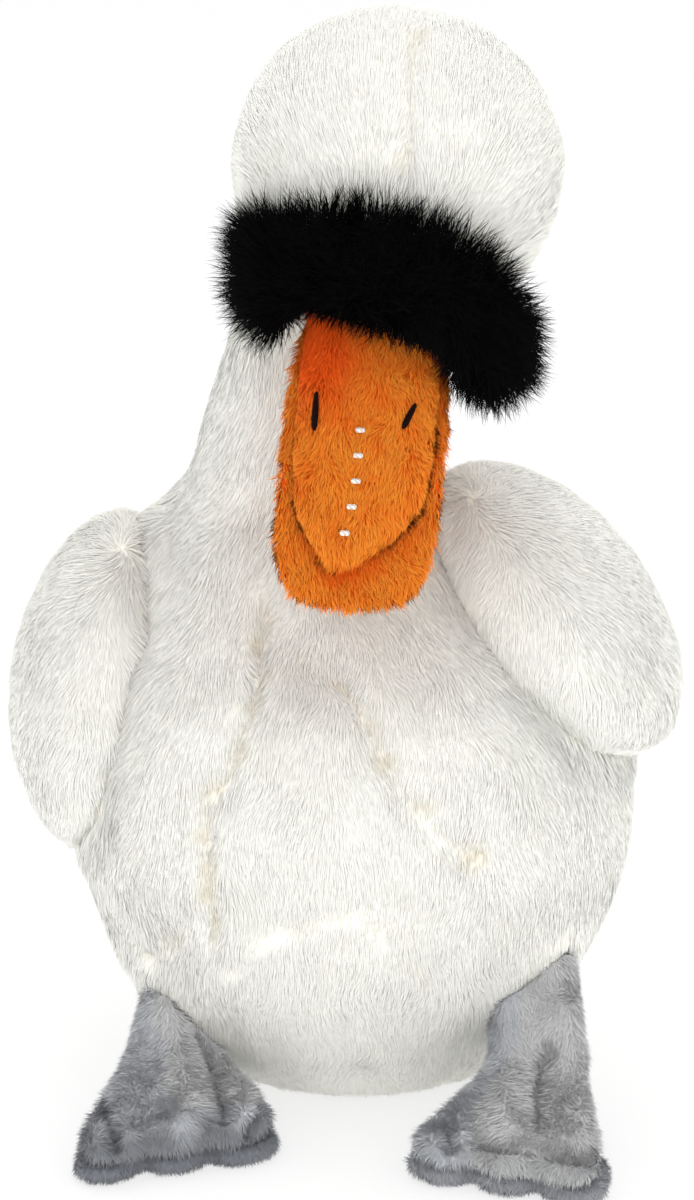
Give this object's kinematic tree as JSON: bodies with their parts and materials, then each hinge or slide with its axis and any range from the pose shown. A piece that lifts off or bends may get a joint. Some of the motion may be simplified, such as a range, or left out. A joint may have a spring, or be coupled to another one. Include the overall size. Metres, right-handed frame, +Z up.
{
  "type": "plush swan",
  "caption": "Sitting stuffed plush swan with an upright neck, a black fur mask, an orange bill laid on the breast, padded wings and webbed feet.",
  "frame": {"origin": "on the ground, below the middle of the whole swan's bounding box", "axes": "+Z up; the swan looks along -Y; its own left side is at +X"},
  "size_m": [0.1894, 0.2218, 0.3056],
  "materials": {
    "white_plush": "short soft white pile, cream at the roots",
    "black_fur": "long black pile",
    "orange_plush": "short orange pile",
    "grey_plush": "short light grey pile",
    "dark_grey_plush": "short dark grey pile",
    "dark_thread": "satin stitched dark thread",
    "white_thread": "white sewing thread"
  },
  "bodies": {
    "root": {"body": "white_plush", "left_wing": "white_plush", "right_wing": "white_plush", "tail": "white_plush", "mask": "black_fur", "upper_bill": "orange_plush", "lower_bill": "orange_plush", "left_nostril": "dark_thread", "right_nostril": "dark_thread", "stitch_1": "white_thread", "stitch_2": "white_thread", "stitch_3": "white_thread", "stitch_4": "white_thread", "stitch_5": "white_thread", "left_foot": "grey_plush", "right_foot": "grey_plush", "left_sole": "dark_grey_plush", "right_sole": "dark_grey_plush"}
  },
  "joints": []
}
